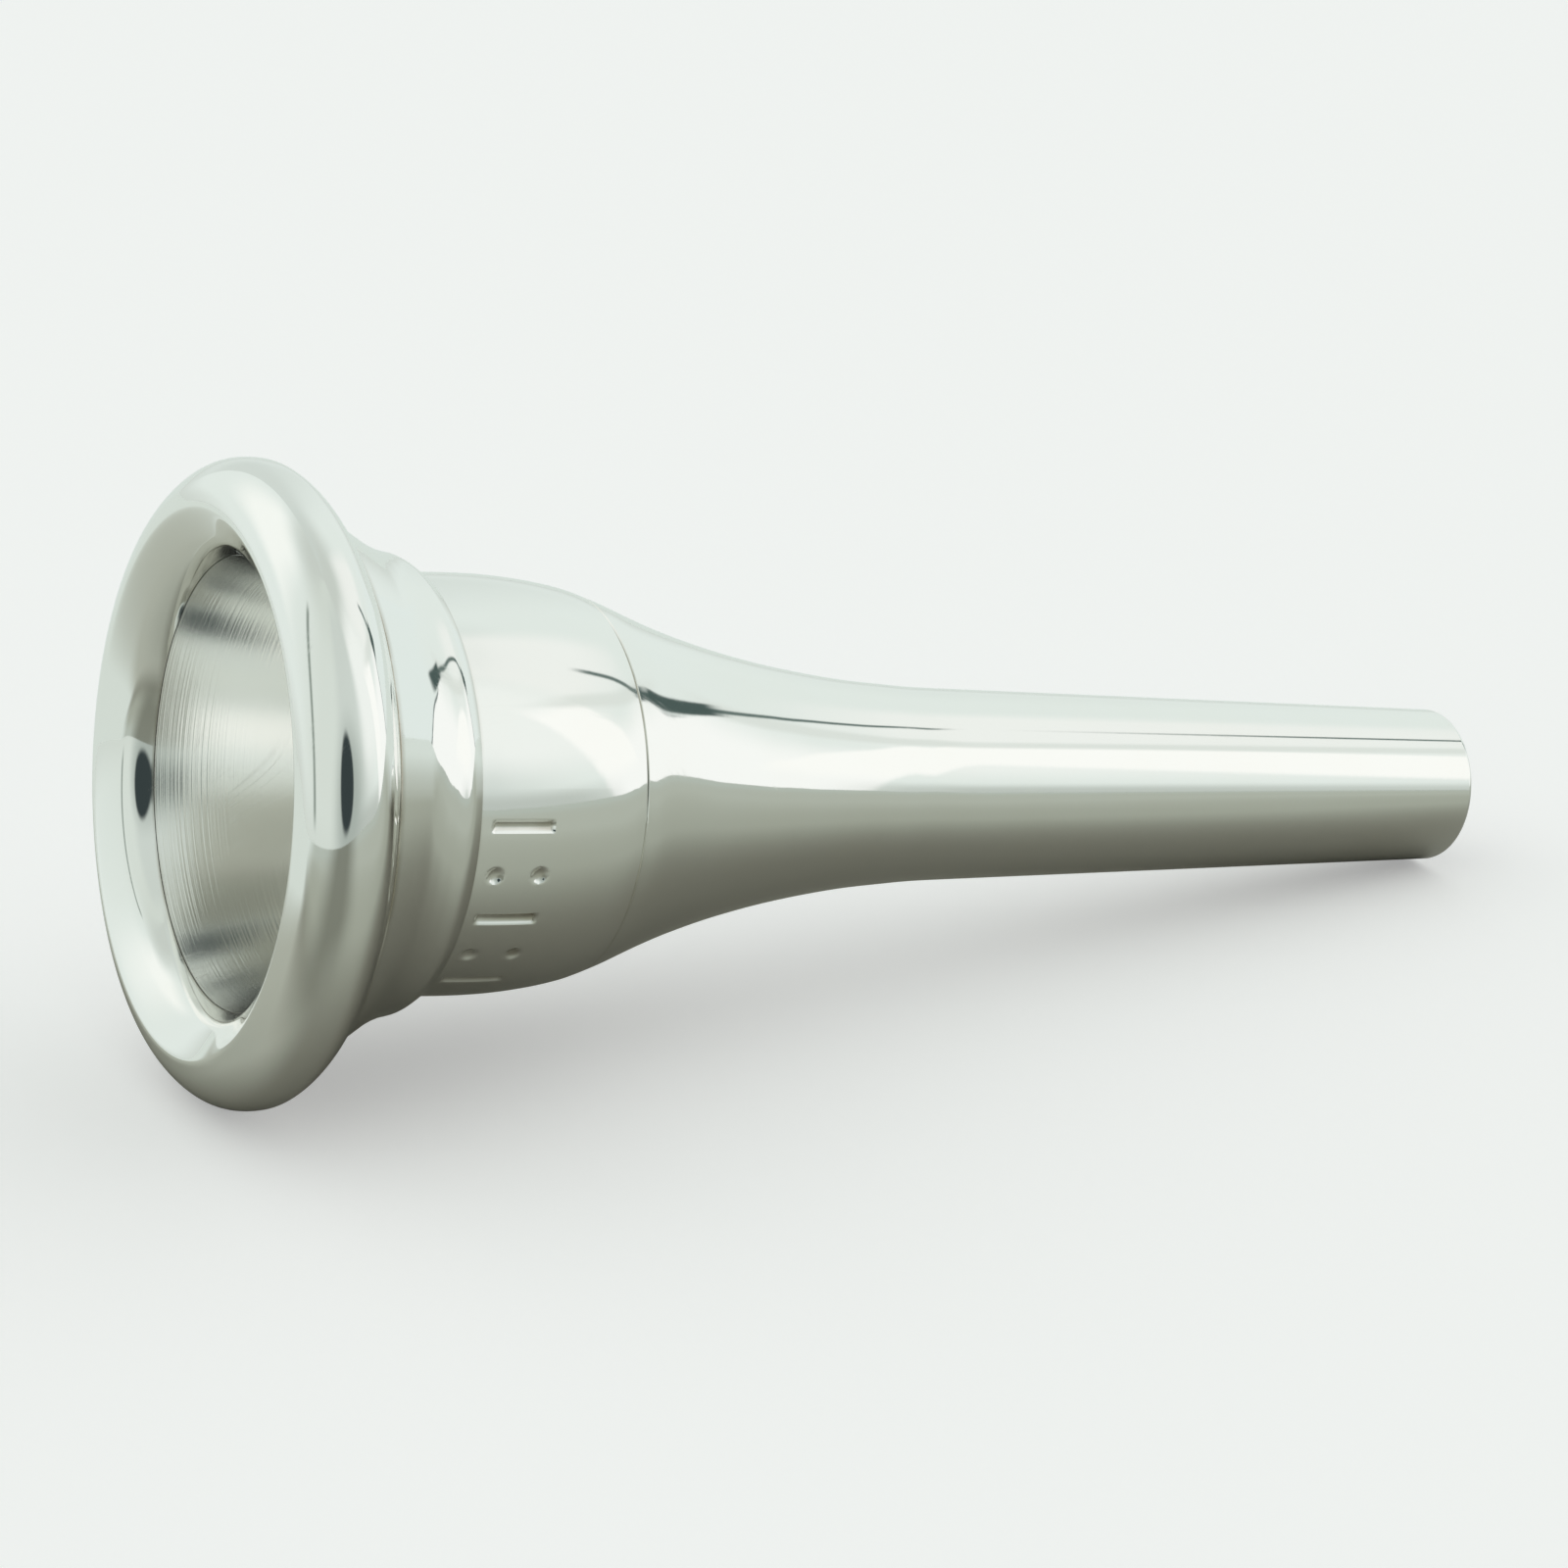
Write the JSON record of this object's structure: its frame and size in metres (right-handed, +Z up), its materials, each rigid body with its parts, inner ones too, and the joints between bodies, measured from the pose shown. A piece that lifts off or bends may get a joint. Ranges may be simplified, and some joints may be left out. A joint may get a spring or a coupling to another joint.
{
  "type": "brass instrument mouthpiece",
  "caption": "French horn mouthpiece with rounded rim, funnel cup, long taper shank and a rim and shank that screw off.",
  "frame": {"origin": "middle of the bounding box at the ground plane, with the mouthpiece lying on its rim and the tip of its shank", "axes": "+Z up; +X from the rim towards the shank's tip, with the turning axis in the XZ plane and 9.24 degrees nose down; the mouth of the cup faces -X"},
  "size_m": [0.0612, 0.0254, 0.0251],
  "materials": {
    "plate_polished": "polished silver plate on brass",
    "plate_cup": "silver plate on brass, polished outside, fine turning marks in the cup",
    "plate_shank": "polished silver plate on brass"
  },
  "bodies": {
    "shank": {"shank": "plate_shank"},
    "cup": {"cup": "plate_cup"},
    "rim": {"rim": "plate_polished"}
  },
  "joints": [
    {"name": "cup_unscrew", "type": "slide", "parent": "shank", "child": "cup", "axis": [-0.987, 0, 0.1606], "range_m": [0, 0.004]},
    {"name": "rim_unscrew", "type": "slide", "parent": "cup", "child": "rim", "axis": [-0.987, 0, 0.1606], "range_m": [0, 0.0022]}
  ]
}
